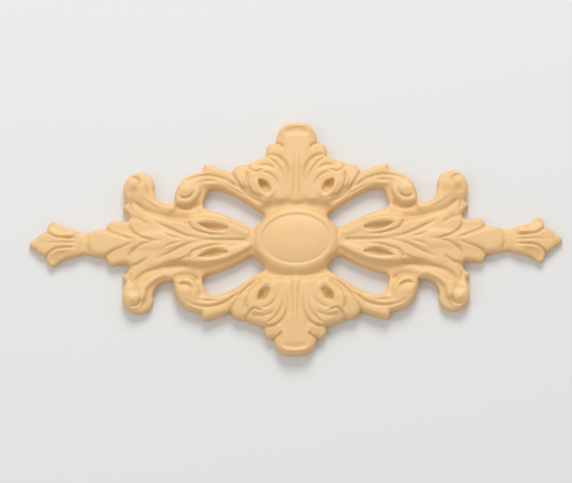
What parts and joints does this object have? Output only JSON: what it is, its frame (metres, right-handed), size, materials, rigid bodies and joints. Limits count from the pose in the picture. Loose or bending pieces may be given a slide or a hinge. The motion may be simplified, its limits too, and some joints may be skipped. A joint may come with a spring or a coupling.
{
  "type": "decorative frieze ornament",
  "caption": "Flat-backed moulded applique with an oval medallion, palmettes, acanthus leaves and scroll arms, fixed to furniture, doors or walls as relief decoration.",
  "frame": {"origin": "middle of the flat back, under the centre of the oval medallion", "axes": "+X along the length towards one leaf tip, +Y along the width towards one palmette, +Z out of the relief, away from the flat back"},
  "size_m": [0.2, 0.09, 0.008],
  "materials": {
    "cast_resin": "smooth satin unpainted cast, warm tan"
  },
  "bodies": {
    "root": {"ornament": "cast_resin"}
  },
  "joints": []
}
